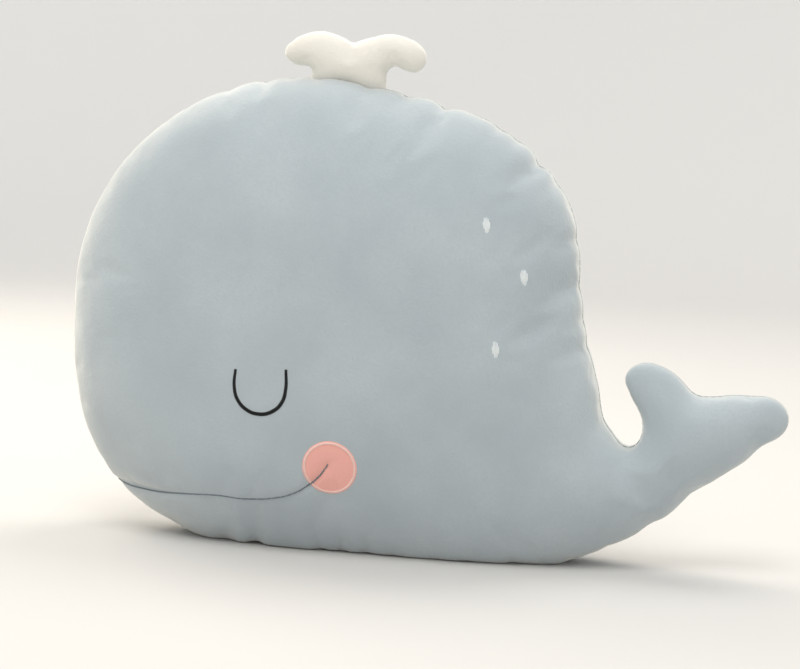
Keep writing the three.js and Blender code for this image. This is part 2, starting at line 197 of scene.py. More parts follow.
# %% Thread
FILAMENT = 0.5 * MM
STRAND_SHADE = 3 * MM


def thread(name, dark, light, roughness):
    finish, tree, shader, place = new_finish(name, Roughness=roughness, Specular_IOR_Level=0.35)
    strands = add_node(
        tree, "ShaderNodeTexNoise", {"Vector": place, "Scale": 1 / STRAND_SHADE, "Detail": 2},
    )
    filaments = add_node(tree, "ShaderNodeTexNoise", {"Vector": place, "Scale": 1 / FILAMENT, "Detail": 1})
    colour = add_node(
        tree, "ShaderNodeMix",
        {0: strands.outputs["Fac"], 6: linear(dark), 7: linear(light)}, data_type="RGBA",
    )
    twist = add_node(
        tree, "ShaderNodeBump", {"Height": filaments.outputs["Fac"], "Strength": 0.3, "Distance": 0.1 * MM},
    )
    tree.links.new(colour.outputs[2], shader.inputs["Base Color"])
    tree.links.new(twist.outputs["Normal"], shader.inputs["Normal"])
    return finish


black_thread = thread("black_satin_thread", "08090b", "15171a", 0.5)
slate_thread = thread("slate_polyester_thread", "68727a", "7a848b", 0.6)
seam_thread = thread("grey_blue_thread", "9aa6aa", "a9b4b7", 0.7)
white_thread = thread("white_satin_thread", "e2e8ea", "f0f5f7", 0.5)
# The border thread is coral. Its paler colour here is a painted highlight for the light that catches its
# satin ridge.
coral_thread_with_painted_highlight = thread("coral_satin_thread_with_painted_highlight", "f3cdc4", "fae0da", 0.45)
for finish in (black_thread, slate_thread, seam_thread, white_thread, coral_thread_with_painted_highlight):
    print("thread:", finish.name)

# %% [markdown]
# ### Felt
#
# The cheek is a disc of thin pressed felt. Felt has no weave: short fibres lie in all directions,
# which gives a fine cloudy surface with no gloss. Single fibres are too fine to show, so the clouds
# that they form are drawn.

# %% Felt
FELT_CLOUD = 1.6 * MM


def felt(name, dark, light):
    finish, tree, shader, place = new_finish(name, Roughness=0.95, Sheen_Weight=0.2, Specular_IOR_Level=0.2)
    fibres = add_node(
        tree, "ShaderNodeTexNoise",
        {"Vector": place, "Scale": 1 / FELT_CLOUD, "Detail": 4, "Roughness": 0.7, "Distortion": 1.5},
    )
    colour = add_node(
        tree, "ShaderNodeMix",
        {0: fibres.outputs["Fac"], 6: linear(dark), 7: linear(light)}, data_type="RGBA",
    )
    nap = add_node(
        tree, "ShaderNodeBump", {"Height": fibres.outputs["Fac"], "Strength": 0.6, "Distance": 0.4 * MM},
    )
    tree.links.new(colour.outputs[2], shader.inputs["Base Color"])
    tree.links.new(nap.outputs["Normal"], shader.inputs["Normal"])
    return finish


coral_felt = felt("pressed_coral_felt", "eaa69b", "f7beb4")
print("felt:", coral_felt.name)

# %% [markdown]
# ## The seam's outline
#
# A stuffed toy is drawn by its seam. The outline is a closed curve through a few knots, in
# millimetres along and up: from the tail's root along the belly to the nose, over the head and down
# the back, into the notch and round the two lobes of the tail. Blender's automatic handles make the
# curve smooth. It is then cut into even steps.

# %% Outline
WHALE_SEAM = [
    (111, 1.5), (71, -10), (-6, -15), (-115, -11.7), (-165.4, 3), (-206.8, 25.4), (-234.7, 61),
    (-247.3, 104), (-250, 150), (-246, 197), (-228, 243), (-195, 281), (-150, 308), (-85, 321),
    (-33.4, 315), (12, 305.4), (55, 288), (85, 261), (101, 230), (106.4, 190), (113, 152), (121, 125),
    (130, 95), (146, 83.5), (153.5, 95), (144, 118), (140, 130), (150, 139), (168, 136), (190, 121),
    (218, 122), (242, 119.5), (250, 107), (234, 87), (208, 67), (185, 47.5), (163, 29), (140, 15.5),
]
CURVE_FINENESS = 24


def smooth_line(knots, spacing, closed=True):
    """Even steps along a smooth curve through knots in millimetres, as an array of places along and up."""
    curve = bpy.data.curves.new("outline", "CURVE")
    curve.dimensions = "3D"
    spline = curve.splines.new("BEZIER")
    spline.bezier_points.add(len(knots) - 1)
    for point, (along, up) in zip(spline.bezier_points, knots):
        point.co = Vector((along, 0, up)) * MM
        point.handle_left_type = "AUTO"
        point.handle_right_type = "AUTO"
    spline.use_cyclic_u = closed
    spline.resolution_u = CURVE_FINENESS
    drawn = bpy.data.objects.new("outline", curve)
    bpy.context.collection.objects.link(drawn)
    bpy.context.view_layer.update()
    fine = np.array([(v.co.x, v.co.z) for v in drawn.to_mesh().vertices])
    bpy.data.objects.remove(drawn)
    if closed:
        fine = np.vstack([fine, fine[:1]])
    travelled = np.concatenate([[0], np.cumsum(np.linalg.norm(np.diff(fine, axis=0), axis=1))])
    steps = round(travelled[-1] / spacing)
    wanted = np.arange(steps + (not closed)) * travelled[-1] / steps
    return np.stack([np.interp(wanted, travelled, fine[:, k]) for k in (0, 1)], axis=1)


print("knots in the whale's seam:", len(WHALE_SEAM))

# %% [markdown]
# ## Cutting a panel
#
# Cloth behaves best when its mesh is made of even triangles. So the flat panel is filled with a
# staggered grid of points. Close to the seam the stuffed panel will stand up almost at a right
# angle, and points that are even in the flat would be pulled far apart there. A few rows that hug
# the seam, closer and closer together, prevent that. A Delaunay triangulation joins all the points
# and stops at the seam.

# %% Panel
# In steps of the cloth: spacing along the seam, rows that hug it, room past them and round extra points
SEAM_SPACING = 0.9
SEAM_ROWS = (0.06, 0.24, 0.54, 0.96, 1.5)
ROW_ROOM = 0.7
EXTRA_ROOM = 0.5
# For the triangulation: keep only what is inside the seam, and merge points that are this close
INSIDE_ONLY = 1
SAME_PLACE = 1e-7


def inward_of(line):
    """For each step of a closed line, the direction into the panel."""
    along = np.roll(line, -1, axis=0) - np.roll(line, 1, axis=0)
    along /= np.linalg.norm(along, axis=1)[:, None]
    turned = np.stack([-along[:, 1], along[:, 0]], axis=1)
    follower = np.roll(line, -1, axis=0)
    area = np.sum(line[:, 0] * follower[:, 1] - follower[:, 0] * line[:, 1])
    return turned if area > 0 else -turned


def inside(points, line):
    """Which points lie inside a closed line: a ray to the right crosses it an odd number of times."""
    start, end = line, np.roll(line, -1, axis=0)
    spans = (start[:, 1] <= points[:, None, 1]) != (end[:, 1] <= points[:, None, 1])
    rise = np.where(start[:, 1] == end[:, 1], 1, end[:, 1] - start[:, 1])
    crossing = start[:, 0] + (points[:, None, 1] - start[:, 1]) / rise * (end[:, 0] - start[:, 0])
    return np.sum(spans & (points[:, None, 0] < crossing), axis=1) % 2 == 1


def gap_to(points, line):
    """Distance from each point to the nearest step of a line."""
    return np.sqrt(((points[:, None] - line[None]) ** 2).sum(axis=2)).min(axis=1)


def cut_panel(line, step, extra=None):
    """Points and triangles of a flat panel. Its first points are the seam's own."""
    inward = inward_of(line)
    rows = [line + inward * share * step for share in SEAM_ROWS]
    low, high = line.min(axis=0), line.max(axis=0)
    columns = np.arange(low[0], high[0], step)
    levels = np.arange(low[1], high[1], step * math.sqrt(3) / 2)
    grid = np.array([(x + (k % 2) * step / 2, z) for k, z in enumerate(levels) for x in columns])
    if extra is not None:
        grid = np.vstack([grid[gap_to(grid, extra) > EXTRA_ROOM * step], extra])
    grid = grid[inside(grid, line)]
    grid = grid[gap_to(grid, line) > (SEAM_ROWS[-1] + ROW_ROOM) * step]
    points = [Vector(p) for p in np.vstack([line, *rows, grid])]
    seam_edges = [(i, (i + 1) % len(line)) for i in range(len(line))]
    corners, _, faces, *_ = delaunay_2d_cdt(points, seam_edges, [], INSIDE_ONLY, SAME_PLACE)
    flat = np.array([tuple(c) for c in corners])
    triangles = np.array(faces)
    a, b, c = (flat[triangles[:, k]] for k in range(3))
    turned = np.cross(b - a, c - a) < 0
    triangles[turned] = triangles[turned][:, [0, 2, 1]]
    print("panel cut:", len(flat), "points,", len(triangles), "triangles")
    return flat, triangles


# %% [markdown]
# ## Stuffing
#
# Fibre pushes a panel up most where it is farthest from any seam. A soap film stretched over the
# outline and blown up from below does the same, so the film's height is worked out first, on the
# panel's own triangles. Springs under the film keep the wide body from rising far above the narrow
# tail. The square root of the film's height then gives the blunt, well-filled edge of a toy.

# %% Stuffing
SMALLEST_AREA = 1e-12
BALANCED = 1e-9


def film_height(flat, triangles, seam_count, reach):
    """Height of a film held down at the seam and by springs. A smaller reach means stiffer springs."""
    count = len(flat)
    starts, ends, pulls, share = [], [], [], np.zeros(count)
    for k in range(3):
        i, j, o = (triangles[:, (k + m) % 3] for m in range(3))
        u, v = flat[i] - flat[o], flat[j] - flat[o]
        doubled = np.maximum(np.abs(np.cross(u, v)), SMALLEST_AREA)
        pull = (u * v).sum(axis=1) / doubled / 2
        starts += [i, j]
        ends += [j, i]
        pulls += [pull, pull]
        share += np.bincount(i, doubled / 6, count)
    starts, ends, pulls = (np.concatenate(part) for part in (starts, ends, pulls))
    own = np.bincount(starts, pulls, count) + share / reach ** 2
    free = np.arange(count) >= seam_count
    height = np.zeros(count)
    left = share * free
    way = left / own
    size = left @ way
    # Conjugate gradients: each turn goes the right distance along one direction, until all is balanced
    for turn in range(count):
        balance = (own * way - np.bincount(starts, pulls * way[ends], count)) * free
        stride = size / (way @ balance)
        height += stride * way
        left = left - stride * balance
        if np.abs(left).max() < BALANCED * share.max():
            break
        eased = left / own
        new_size = left @ eased
        way = eased + new_size / size * way
        size = new_size
    print("film balanced after", turn + 1, "turns")
    return height / height.max()


def sew_panels(name, flat, triangles, seam_count, half_thickness):
    """One closed mesh of two panels that share the seam. The rear panel's faces are in material slot 1."""
    inner = len(flat) - seam_count
    front = np.stack([flat[:, 0], -half_thickness, flat[:, 1]], axis=1)
    rear = (front * (1, -1, 1))[seam_count:]
    rear_triangles = np.where(triangles < seam_count, triangles, triangles + inner)[:, [0, 2, 1]]
    mesh = bpy.data.meshes.new(name)
    mesh.from_pydata(np.vstack([front, rear]).tolist(), [], np.vstack([triangles, rear_triangles]).tolist())
    cover = bpy.data.objects.new(name, mesh)
    bpy.context.collection.objects.link(cover)
    sides = np.repeat([0, 1], len(triangles)).astype(np.int32)
    mesh.polygons.foreach_set("material_index", sides)
    cover.vertex_groups.new(name="seam").add(list(range(seam_count)), 1, "REPLACE")
    return cover


def read_points(mesh):
    points = np.zeros(3 * len(mesh.vertices))
    mesh.vertices.foreach_get("co", points)
    return points.reshape(-1, 3)


def write_points(mesh, points):
    mesh.vertices.foreach_set("co", points.ravel())
    mesh.update()


# %% [markdown]
# ## Puckers
#
# Sewing draws the seam in, so the panels pucker along it. A few deep puckers on the crown, the back
# and the belly show in the outline as scallops, and smaller ones follow each other all the way
# round. Each pucker is a dent that is deepest at the seam, fans out and fades into the panel.
# Between the puckers the filling is never quite even, so slow noise lifts and lowers the surface by
# about a millimetre.

# %% Puckers
# Place along and up, depth, reach into the panel and half width, in millimetres
WHALE_PUCKERS = [
    (-142, 311, 1.2, 14, 4.5), (-115, 316, 2.8, 20, 4.5), (-19, 312, 2.8, 16, 4.5),
    (9.5, 306, 4.4, 18, 4.5), (46, 292, 2.0, 14, 4.5), (58, 285, 1.8, 12, 4.5),
    (74, 271, 5.0, 15, 4.5), (104, 222, 2.4, 12, 4.5), (107, 188, 2.0, 10, 4.5),
    (115, 148, 1.8, 10, 4.5), (146, 83.5, 2.6, 34, 5), (190, 121, 1.6, 22, 6),
    (233, 87, 2.4, 18, 9), (190, 53, 2.8, 22, 12), (161, 28, 2.2, 18, 7),
    (-131, -9, 6.0, 16, 3.5), (-108, -12, 9.5, 17, 2.6), (-57, -14, 8.0, 16, 2.2),
    (-45, -15, 8.7, 16, 2.2), (-28, -15, 5.5, 15, 2.8),
]
PUCKER_FAN = 15 * MM


def all_puckers(line, chosen, depths, reaches, spans, width, seed, strength=lambda along: 1):
    """The chosen puckers, and small ones where the seam has room, as deep as strength says there."""
    draw = random.Random(seed)
    puckers = [(np.array(p[:2]) * MM, *(size * MM for size in p[2:])) for p in chosen]
    fixed = np.array([p[0] for p in puckers])
    step = np.linalg.norm(line[1] - line[0])
    at = 0
    while at < len(line):
        place = line[int(at)]
        depth, reach = draw.uniform(*depths) * strength(place[0]) * MM, draw.uniform(*reaches) * MM
        if gap_to(place[None], fixed)[0] > spans[0] * MM:
            puckers.append((place, depth, reach, width))
        at += draw.uniform(*spans) * MM / step
    print("puckers:", len(puckers))
    return puckers


def pucker_depth(flat, line, puckers):
    """How deep the puckers press each point of the panel in."""
    inward = inward_of(line)
    pressed = np.zeros(len(flat))
    for place, depth, reach, width in puckers:
        nearest = np.argmin(((line - place) ** 2).sum(axis=1))
        across = np.array([-inward[nearest][1], inward[nearest][0]])
        offset = flat - line[nearest]
        into = offset @ inward[nearest]
        fan = width * (1 + np.maximum(into, 0) / PUCKER_FAN)
        dent = depth * np.exp(-((offset @ across / fan) ** 2)) * np.exp(-np.maximum(into, 0) / reach)
        # A pucker ends a little past the seam, so that it doesn't dent a limb on the other side
        pressed += np.where(into > -2 * width, dent, 0)
    return pressed


def press_in(cover, depth):
    """Moves every point against its normal."""
    mesh = cover.data
    normals = np.zeros(3 * len(mesh.vertices))
    mesh.vertex_normals.foreach_get("vector", normals)
    write_points(mesh, read_points(mesh) - normals.reshape(-1, 3) * depth[:, None])


def lumps(points, size, height):
    """Slow noise for filling that is never quite even."""
    return np.array([height * noise.noise(Vector(p) / size) for p in points])


def press_seam(cover, flat, line, puckers, draw, draw_fade, uneven, uneven_fade, groove=0):
    """Presses puckers and the drawn-in seam into both panels, a groove into the front, and adds lumps."""
    gap = gap_to(flat, line)
    gap[:len(line)] = 0
    pressed = pucker_depth(flat, line, puckers) + draw * np.exp(-gap / draw_fade)
    both = np.concatenate([pressed + groove, pressed[len(line):]])
    places = read_points(cover.data)
    fade = np.minimum(1, np.concatenate([gap, gap[len(line):]]) / uneven_fade)
    both -= fade * sum(lumps(places, size, height) for size, height in uneven)
    press_in(cover, both)


# %% [markdown]
# ## Settling the cloth
#
# The form is right now, but too perfect. A short cloth simulation with air pressure inside turns it
# into sewn fabric: the cloth is a little longer than the form, so it wrinkles where the seam holds
# it and stays taut in the middle. The seam is pinned, gravity is off, and no point may move farther
# than a cap.

# %% Cloth
SMALLEST_MOVE = 1e-9


def settle_cloth(cover, slack, pressure, bending, frames, cap):
    """Runs the simulation on a cover, keeps its result as the mesh, and limits how far each point moved."""
    before = read_points(cover.data)
    cloth = cover.modifiers.new("settling", "CLOTH")
    fabric = cloth.settings
    fabric.quality = 6
    fabric.mass = 0.25
    fabric.tension_stiffness = 30
    fabric.compression_stiffness = 30
    fabric.shear_stiffness = 12
    fabric.bending_stiffness = bending
    fabric.tension_damping = 15
    fabric.compression_damping = 15
    fabric.shear_damping = 15
    fabric.bending_damping = 2
    fabric.air_damping = 6
    fabric.vertex_group_mass = "seam"
    fabric.shrink_min = -slack
    fabric.use_pressure = True
    fabric.uniform_pressure_force = pressure
    fabric.effector_weights.gravity = 0
    cloth.collision_settings.use_collision = False
    cloth.point_cache.frame_start = 1
    cloth.point_cache.frame_end = frames
    for number in range(1, frames + 1):
        bpy.context.scene.frame_set(number)
    bpy.context.view_layer.objects.active = cover
    bpy.ops.object.modifier_apply(modifier=cloth.name)
    bpy.context.scene.frame_set(1)
    moved = read_points(cover.data) - before
    far = np.linalg.norm(moved, axis=1)
    write_points(cover.data, before + moved * np.minimum(1, cap / np.maximum(far, SMALLEST_MOVE))[:, None])
    print(cover.name, "moved by", round(far.mean() / MM, 1), "mm, at most", round(far.max() / MM, 1))


def finish_panels(cover, front_name, rear_name, wall, finish):
    """Smooths a settled cover, keeps its seam sharp and parts it into two panels of real thickness."""
    mesh = cover.data
    group = cover.vertex_groups["seam"].index
    on_seam = np.array([any(g.group == group for g in v.groups) for v in mesh.vertices])
    crease = mesh.attributes.new("crease_edge", "FLOAT", "EDGE")
    for edge in mesh.edges:
        a, b = edge.vertices
        if on_seam[a] and on_seam[b]:
            crease.data[edge.index].value = 1
    # One slot for each panel, because they are parted by material
    mesh.materials.append(finish)
    mesh.materials.append(finish)
    bpy.ops.object.select_all(action="DESELECT")
    cover.select_set(True)
    bpy.context.view_layer.objects.active = cover
    finer = cover.modifiers.new("finer", "SUBSURF")
    finer.levels = finer.render_levels = 1
    bpy.ops.object.modifier_apply(modifier=finer.name)
    seam_places = read_points(mesh)[:on_seam.sum()]
    bpy.ops.object.shade_smooth()
    bpy.ops.object.mode_set(mode="EDIT")
    bpy.ops.mesh.separate(type="MATERIAL")
    bpy.ops.object.mode_set(mode="OBJECT")
    panels = sorted(bpy.context.selected_objects, key=lambda p: read_points(p.data)[:, 1].mean())
    for panel, name in zip(panels, (front_name, rear_name)):
        panel.name = panel.data.name = name
        bpy.context.view_layer.objects.active = panel
        thick = panel.modifiers.new("cloth", "SOLIDIFY")
        thick.thickness = wall
        thick.offset = -1
        bpy.ops.object.modifier_apply(modifier=thick.name)
        while len(panel.data.materials) > 1:
            panel.data.materials.pop()
        panel.data.polygons.foreach_set("material_index", np.zeros(len(panel.data.polygons), np.int32))
        panel.vertex_groups.clear()
    return panels[0], panels[1], seam_places


# %% [markdown]
# ## The whale's panels
#
# All the steps come together here. The body's half thickness comes from the solid, less what the
# cloth will swell. Drawing the seam in makes the whale smaller all round, so the panel is cut that
# much larger, except at the nose, where the full front stands out past the seam and the cut is a
# little smaller. The smile is stitched through the panel and draws it in, so points along the smile
# are added to the cut and pressed in a little. The belly is flat where the pillow stands.

# %% Whale
SMILE = [
    (-210.5, 34), (-204, 32.7), (-189, 32), (-169, 32.5), (-150, 34.5), (-128, 36), (-106, 35.5), (-88, 38),
    (-74, 42.5), (-63, 49.5), (-55, 57), (-49.8, 64.5),
]
SMILE_ROW = 2.2 * MM
SMILE_GROOVE = 2.2 * MM
SMILE_GROOVE_WIDTH = 2.5 * MM
CLOTH_STEP = 5 * MM
COVER_WALL = 1.6 * MM
FILM_REACH = 75 * MM
SWELLING = 5 * MM
SEAM_DRAW = 1.8 * MM
SEAM_DRAW_FADE = 1.2 * MM
NOSE_SIDE, HEAD_MIDDLE = -230, -120
NOSE_SWELL = 1.8 * MM
CLOSING_LIFT = 1.2 * MM
# Small puckers: ranges of depth, reach and distance in millimetres, and how deep they are from nose to tail
SMALL_PUCKERS = ((0.7, 1.9), (10, 20), (18, 38))
SMALL_PUCKER_WIDTH = 4.5 * MM
CALM_ENDS = (-140, -100, 115, 145)
CALM_SHARES = (0.25, 1, 1, 0.2)
# Lumps of the filling: size and height
WHALE_LUMPS = ((90 * MM, 1.4 * MM), (40 * MM, 0.7 * MM))
WHALE_LUMP_FADE = 12 * MM

smile_line = smooth_line(SMILE, SMILE_ROW, closed=False)
smile_turn = np.gradient(smile_line, axis=0)
smile_across = np.stack([-smile_turn[:, 1], smile_turn[:, 0]], axis=1)
smile_across /= np.linalg.norm(smile_across, axis=1)[:, None]
smile_rows = np.vstack([smile_line + smile_across * side * SMILE_ROW for side in (-2, -1, 0, 1, 2)])

whale_line = smooth_line(WHALE_SEAM, SEAM_SPACING * CLOTH_STEP)
allowance = np.interp(whale_line[:, 0], (NOSE_SIDE * MM, HEAD_MIDDLE * MM), (-NOSE_SWELL, SEAM_DRAW))
whale_line -= inward_of(whale_line) * allowance[:, None]
flat, triangles = cut_panel(whale_line, CLOTH_STEP, smile_rows)
seam_count = len(whale_line)
body_half = -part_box("body_front_cover")[0].y - SWELLING
half_thickness = body_half * np.sqrt(film_height(flat, triangles, seam_count, FILM_REACH))
whale = sew_panels("whale_cover", flat, triangles, seam_count, half_thickness)

puckers = all_puckers(
    whale_line, WHALE_PUCKERS, *SMALL_PUCKERS, SMALL_PUCKER_WIDTH, seed=3,
    strength=lambda along: np.interp(along / MM, CALM_ENDS, CALM_SHARES),
)
groove = SMILE_GROOVE * np.exp(-((gap_to(flat, smile_line) / SMILE_GROOVE_WIDTH) ** 2))
press_seam(
    whale, flat, whale_line, puckers, SEAM_DRAW, SEAM_DRAW_FADE, WHALE_LUMPS, WHALE_LUMP_FADE, groove,
)
settle_cloth(whale, slack=0.006, pressure=20, bending=4, frames=16, cap=9 * MM)

places = read_points(whale.data)
places[:, 2] = np.maximum(places[:, 2], 0)
places[:seam_count, 2] = np.maximum(places[:seam_count, 2], CLOSING_LIFT)
write_points(whale.data, places)
front_panel, rear_panel, whale_seam = finish_panels(
    whale, "whale_front_panel", "whale_rear_panel", COVER_WALL, whale_velour,
)
print("front panel faces:", len(front_panel.data.polygons))

# %% [markdown]
# ## The water spout
#
# The spout is a small cushion of off-white velour with two curling lobes. It is made exactly as the
# whale is, at a smaller scale. Its foot follows the crown and reaches just below the whale's seam,
# which holds it.

# %% Spout
SPOUT_SEAM = [
    (-35.5, 312.5), (-60.5, 316), (-85.5, 317.5), (-84.4, 323), (-85.4, 327.8), (-89, 329.6), (-95, 329.6),
    (-101, 332.6), (-104, 337.5), (-99, 344.5), (-86, 350.8), (-77.5, 351.7), (-67, 349), (-57.3, 345.6),
    (-47, 348), (-32, 351.3), (-20, 349.5), (-10, 343.8), (-6.7, 336.5), (-12, 328.2), (-20, 328.8),
    (-27, 331.6), (-32, 328.8), (-34, 321),
]
SPOUT_STEP = 2.2 * MM
SPOUT_WALL = 1.2 * MM
SPOUT_REACH = 30 * MM
SPOUT_SWELLING = 1 * MM
SPOUT_DRAW = 1.2 * MM
SPOUT_DRAW_FADE = 0.6 * MM
SPOUT_PUCKERS = [(-57.3, 345.6, 1.0, 8, 3), (-34, 325, 0.8, 8, 2.5), (-86, 326, 0.8, 8, 2.5)]
SPOUT_SMALL_PUCKERS = ((0.1, 0.35), (4, 7), (7, 14))
SPOUT_PUCKER_WIDTH = 2 * MM
SPOUT_LUMPS = ((22 * MM, 0.4 * MM),)
SPOUT_LUMP_FADE = 5 * MM

spout_line = smooth_line(SPOUT_SEAM, SEAM_SPACING * SPOUT_STEP)
spout_line -= inward_of(spout_line) * SPOUT_DRAW
flat, triangles = cut_panel(spout_line, SPOUT_STEP)
seam_count = len(spout_line)
spout_half = -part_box("spout_front_cover")[0].y - SPOUT_SWELLING
half_thickness = spout_half * np.sqrt(film_height(flat, triangles, seam_count, SPOUT_REACH))
spout = sew_panels("spout_cover", flat, triangles, seam_count, half_thickness)
puckers = all_puckers(spout_line, SPOUT_PUCKERS, *SPOUT_SMALL_PUCKERS, SPOUT_PUCKER_WIDTH, seed=5)
press_seam(
    spout, flat, spout_line, puckers, SPOUT_DRAW / 2, SPOUT_DRAW_FADE, SPOUT_LUMPS, SPOUT_LUMP_FADE,
)
settle_cloth(spout, slack=0.005, pressure=8, bending=2, frames=10, cap=1.5 * MM)
spout_front, spout_rear, spout_seam = finish_panels(
    spout, "spout_front_panel", "spout_rear_panel", SPOUT_WALL, spout_velour,
)
print("spout panel faces:", len(spout_front.data.polygons))

# %% [markdown]
# ## The filling
#
# The fibre fills the covers almost to the seams. It is the same stuffed form once more, cut smaller
# and with larger triangles, because nobody sees it until a panel is taken off.

# %% Filling
FIBRE_TUFT = 6 * MM
# Spacing along the seam, gap to the seam and step of the triangles
WHALE_FILLING = (8 * MM, 7 * MM, 9 * MM)
SPOUT_FILLING = (3 * MM, 2.5 * MM, 3.5 * MM)


def fibre(name):
    finish, tree, shader, place = new_finish(name, Roughness=0.95, Sheen_Weight=0.3, Specular_IOR_Level=0.1)
    tufts = add_node(tree, "ShaderNodeTexNoise", {"Vector": place, "Scale": 1 / FIBRE_TUFT, "Detail": 4})
    colour = add_node(
        tree, "ShaderNodeMix",
        {0: tufts.outputs["Fac"], 6: linear("e2e1dc"), 7: linear("f2f1ed")}, data_type="RGBA",
    )
    fluff = add_node(
        tree, "ShaderNodeBump", {"Height": tufts.outputs["Fac"], "Strength": 0.8, "Distance": 2 * MM},
    )
    tree.links.new(colour.outputs[2], shader.inputs["Base Color"])
    tree.links.new(fluff.outputs["Normal"], shader.inputs["Normal"])
    return finish


white_fibre = fibre("white_polyester_fibre")


def fill(name, knots, sizes, half, reach, lowest):
    """A filling that stays a gap inside the seam and inside a half thickness."""
    spacing, gap, step = sizes
    line = smooth_line(knots, spacing)
    inner = line + inward_of(line) * gap
    flat, triangles = cut_panel(inner, step)
    thickness = (half - gap) * np.sqrt(film_height(flat, triangles, len(inner), reach))
    filling = sew_panels(name, flat, triangles, len(inner), thickness)
    places = read_points(filling.data)
    places[:, 2] = np.maximum(places[:, 2], lowest)
    write_points(filling.data, places)
    bpy.ops.object.select_all(action="DESELECT")
    filling.select_set(True)
    bpy.context.view_layer.objects.active = filling
    bpy.ops.object.shade_smooth()
    filling.data.polygons.foreach_set("material_index", np.zeros(len(filling.data.polygons), np.int32))
    filling.data.materials.append(white_fibre)
    filling.vertex_groups.clear()
    return filling


whale_filling = fill("whale_filling", WHALE_SEAM, WHALE_FILLING, body_half, FILM_REACH, 2 * COVER_WALL)
spout_filling = fill("spout_filling_fibre", SPOUT_SEAM, SPOUT_FILLING, spout_half, SPOUT_REACH, 0)
print("filling faces:", len(whale_filling.data.polygons), len(spout_filling.data.polygons))

# %% [markdown]
# ## One stitch
#
# All the sewing on the pillow is made of one stitch: a short length of thread that comes up, lies
# on the cloth and goes down again. It starts as a sphere. Its two ends are drawn down, so that they
# dive into the cloth. The finished stitch is two units long, two wide and two high, and each copy
# is stretched to its own size.

# %% Stitch
STITCH_END = 0.8
STITCH_DIVE = 0.8


def model_stitch():
    bpy.ops.object.select_all(action="DESELECT")
    bpy.ops.mesh.primitive_uv_sphere_add(segments=8, ring_count=6, radius=1, rotation=(0, math.pi / 2, 0))
    bpy.ops.object.transform_apply(location=False, rotation=True, scale=False)
    stitch = bpy.context.object
    stitch.name = "stitch"
    bpy.ops.object.mode_set(mode="EDIT")
    bpy.ops.mesh.select_all(action="DESELECT")
    bpy.ops.object.mode_set(mode="OBJECT")
    for vertex in stitch.data.vertices:
        vertex.select = abs(vertex.co.x) > STITCH_END
    bpy.ops.object.mode_set(mode="EDIT")
    bpy.ops.transform.translate(value=(0, 0, -STITCH_DIVE))
    bpy.ops.object.mode_set(mode="OBJECT")
    bpy.ops.object.shade_smooth()
    return stitch


one_stitch = model_stitch()
print("points in one stitch:", len(one_stitch.data.vertices))


def sew(name, stitches, finish):
    """Joins copies of the stitch. Each has a middle, along, up, half length, half width and height."""
    copies = []
    for middle, along, up, half_length, half_width, height in stitches:
        across = up.cross(along).normalized()
        along = across.cross(up).normalized()
        copy = one_stitch.copy()
        copy.data = one_stitch.data.copy()
        turned = Matrix((along * half_length, across * half_width, up.normalized() * height)).transposed()
        copy.matrix_world = Matrix.Translation(middle) @ turned.to_4x4()
        bpy.context.collection.objects.link(copy)
        copies.append(copy)
    bpy.context.view_layer.update()
    bpy.ops.object.select_all(action="DESELECT")
    for copy in copies:
        copy.select_set(True)
    bpy.context.view_layer.objects.active = copies[0]
    bpy.ops.object.join()
    sewn = bpy.context.object
    bpy.ops.object.transform_apply(location=True, rotation=True, scale=True)
    sewn.name = sewn.data.name = name
    sewn.data.materials.clear()
    sewn.data.materials.append(finish)
    print(name, "stitches:", len(copies))
    return sewn


# %% [markdown]
# ## Seam threads
#
# The seams are sewn with a row of small stitches, which lie at the bottom of the groove between the
# panels. The opening under the belly, where the fibre went in, is closed by hand with a ladder
# stitch: short steps from one panel to the other and back.

# %% Seam threads
THREAD_RADIUS = 0.35 * MM
STITCH_SHARE = 0.42
TAB_CLEARANCE = 1.5 * MM
LADDER_STEP = 4.5 * MM
LADDER_REACH = 1.6 * MM
LADDER_HEIGHT = 0.8 * MM
LADDER_SLANT = 0.35


def seam_stitches(places, keep):
    """Stitches from place to place along a closed seam, where keep allows them."""
    stitches = []
    count = len(places)
    for i in range(count):
        start, end = Vector(places[i]), Vector(places[(i + 1) % count])
        middle = (start + end) / 2
        if keep(middle):
            along = (end - start).normalized()
            up = Vector((0, 1, 0)).cross(along)
            half_length = STITCH_SHARE * (end - start).length
            stitches.append((middle, along, up, half_length, THREAD_RADIUS, THREAD_RADIUS))
    return stitches


closing_low, closing_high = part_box("closing_seam_thread")
perimeter_thread = sew(
    "perimeter_stitches",
    seam_stitches(whale_seam, lambda p: p.z > 2 * CLOSING_LIFT or not closing_low.x < p.x < closing_high.x),
    seam_thread,
)
sewn_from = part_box("spout_tab")[1].z + TAB_CLEARANCE
spout_thread = sew("spout_stitches", seam_stitches(spout_seam, lambda p: p.z > sewn_from), white_thread)

rungs = int((closing_high.x - closing_low.x) / LADDER_STEP)
ladder = []
for k in range(rungs):
    middle = Vector((closing_low.x + (k + 0.5) * LADDER_STEP, 0, LADDER_HEIGHT))
    slanted = Vector((LADDER_SLANT, 1 if k % 2 else -1, 0))
    ladder.append((middle, slanted, Vector((0, 0, -1)), LADDER_REACH, THREAD_RADIUS, THREAD_RADIUS))
closing_thread = sew("closing_stitches", ladder, seam_thread)

# %% [markdown]
# ## The face
#
# Embroidery lies on the cloth, so every stitch is set on the finished front panel: a ray is sent
# from the front, and the place and slope that it hits become the stitch's place and its up
# direction.

# %% Finding the front
SATIN_STRAND = 0.3 * MM
SATIN_HEIGHT = 0.5 * MM
RAY_START = -1
front_surface = BVHTree.FromObject(front_panel, bpy.context.evaluated_depsgraph_get())
print("rays can meet", len(front_panel.data.polygons), "faces")


def on_front(along, up):
    """Place and outward direction on the panel, seen from the front. None where it isn't met."""
    place, outward, _, _ = front_surface.ray_cast(Vector((along, RAY_START, up)), Vector((0, 1, 0)))
    return place, outward


